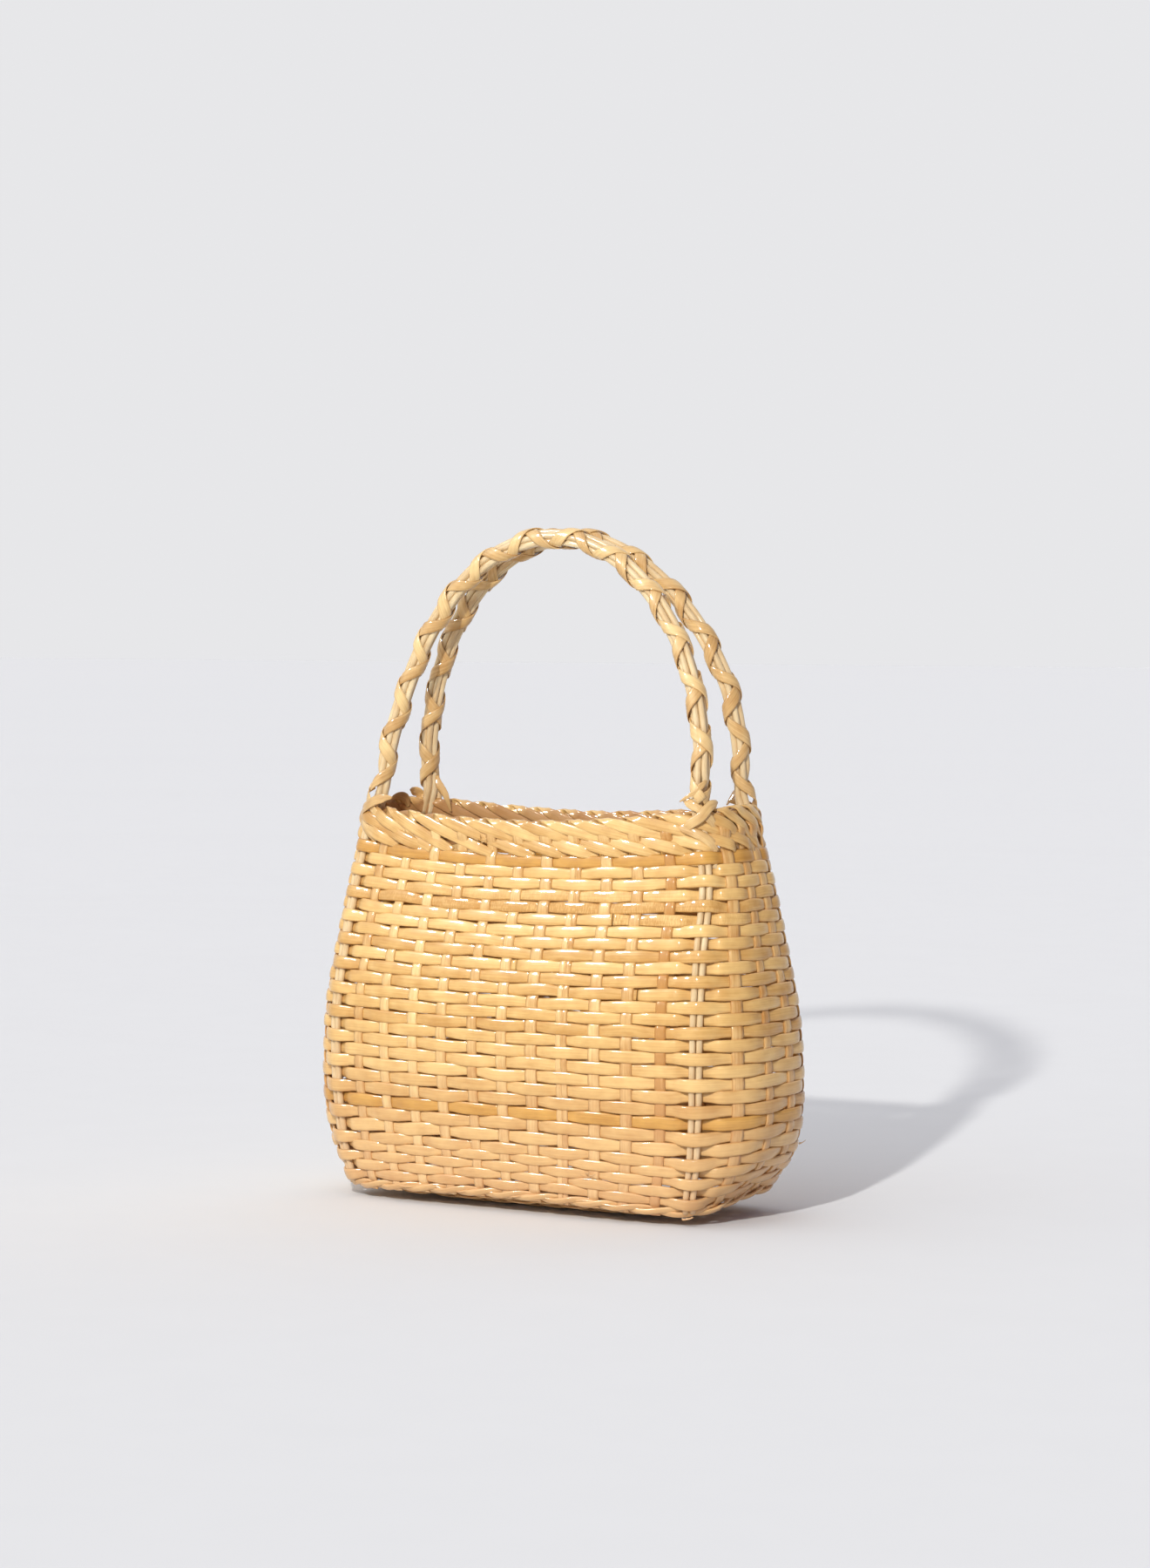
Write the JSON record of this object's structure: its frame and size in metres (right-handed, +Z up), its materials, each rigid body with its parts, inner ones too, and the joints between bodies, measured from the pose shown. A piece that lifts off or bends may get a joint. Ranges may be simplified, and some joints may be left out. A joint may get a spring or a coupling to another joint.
{
  "type": "straw basket bag",
  "caption": "Small oval handbag woven of varnished cane, pinched towards a plaited rim, open at the top, with two arched cross-wrapped cane handles.",
  "frame": {"origin": "centre of the flat rest under the base, on the floor", "axes": "+Z up through the mouth, width along X, front face towards -Y"},
  "size_m": [0.2122, 0.084, 0.2698],
  "materials": {
    "cane": "varnished",
    "dark_cane": "varnished",
    "border_cane": "varnished",
    "rod_cane": "satin",
    "wrap_cane": "varnished"
  },
  "bodies": {
    "root": {"basket_wall": "cane", "basket_base": "cane", "rim_border": "border_cane", "top_band": "dark_cane", "lower_band": "dark_cane", "front_handle_rods": "rod_cane", "front_handle_wrap_inner": "wrap_cane", "front_handle_wrap_outer": "wrap_cane", "rear_handle_rods": "rod_cane", "rear_handle_wrap_inner": "wrap_cane", "rear_handle_wrap_outer": "wrap_cane"}
  },
  "joints": []
}
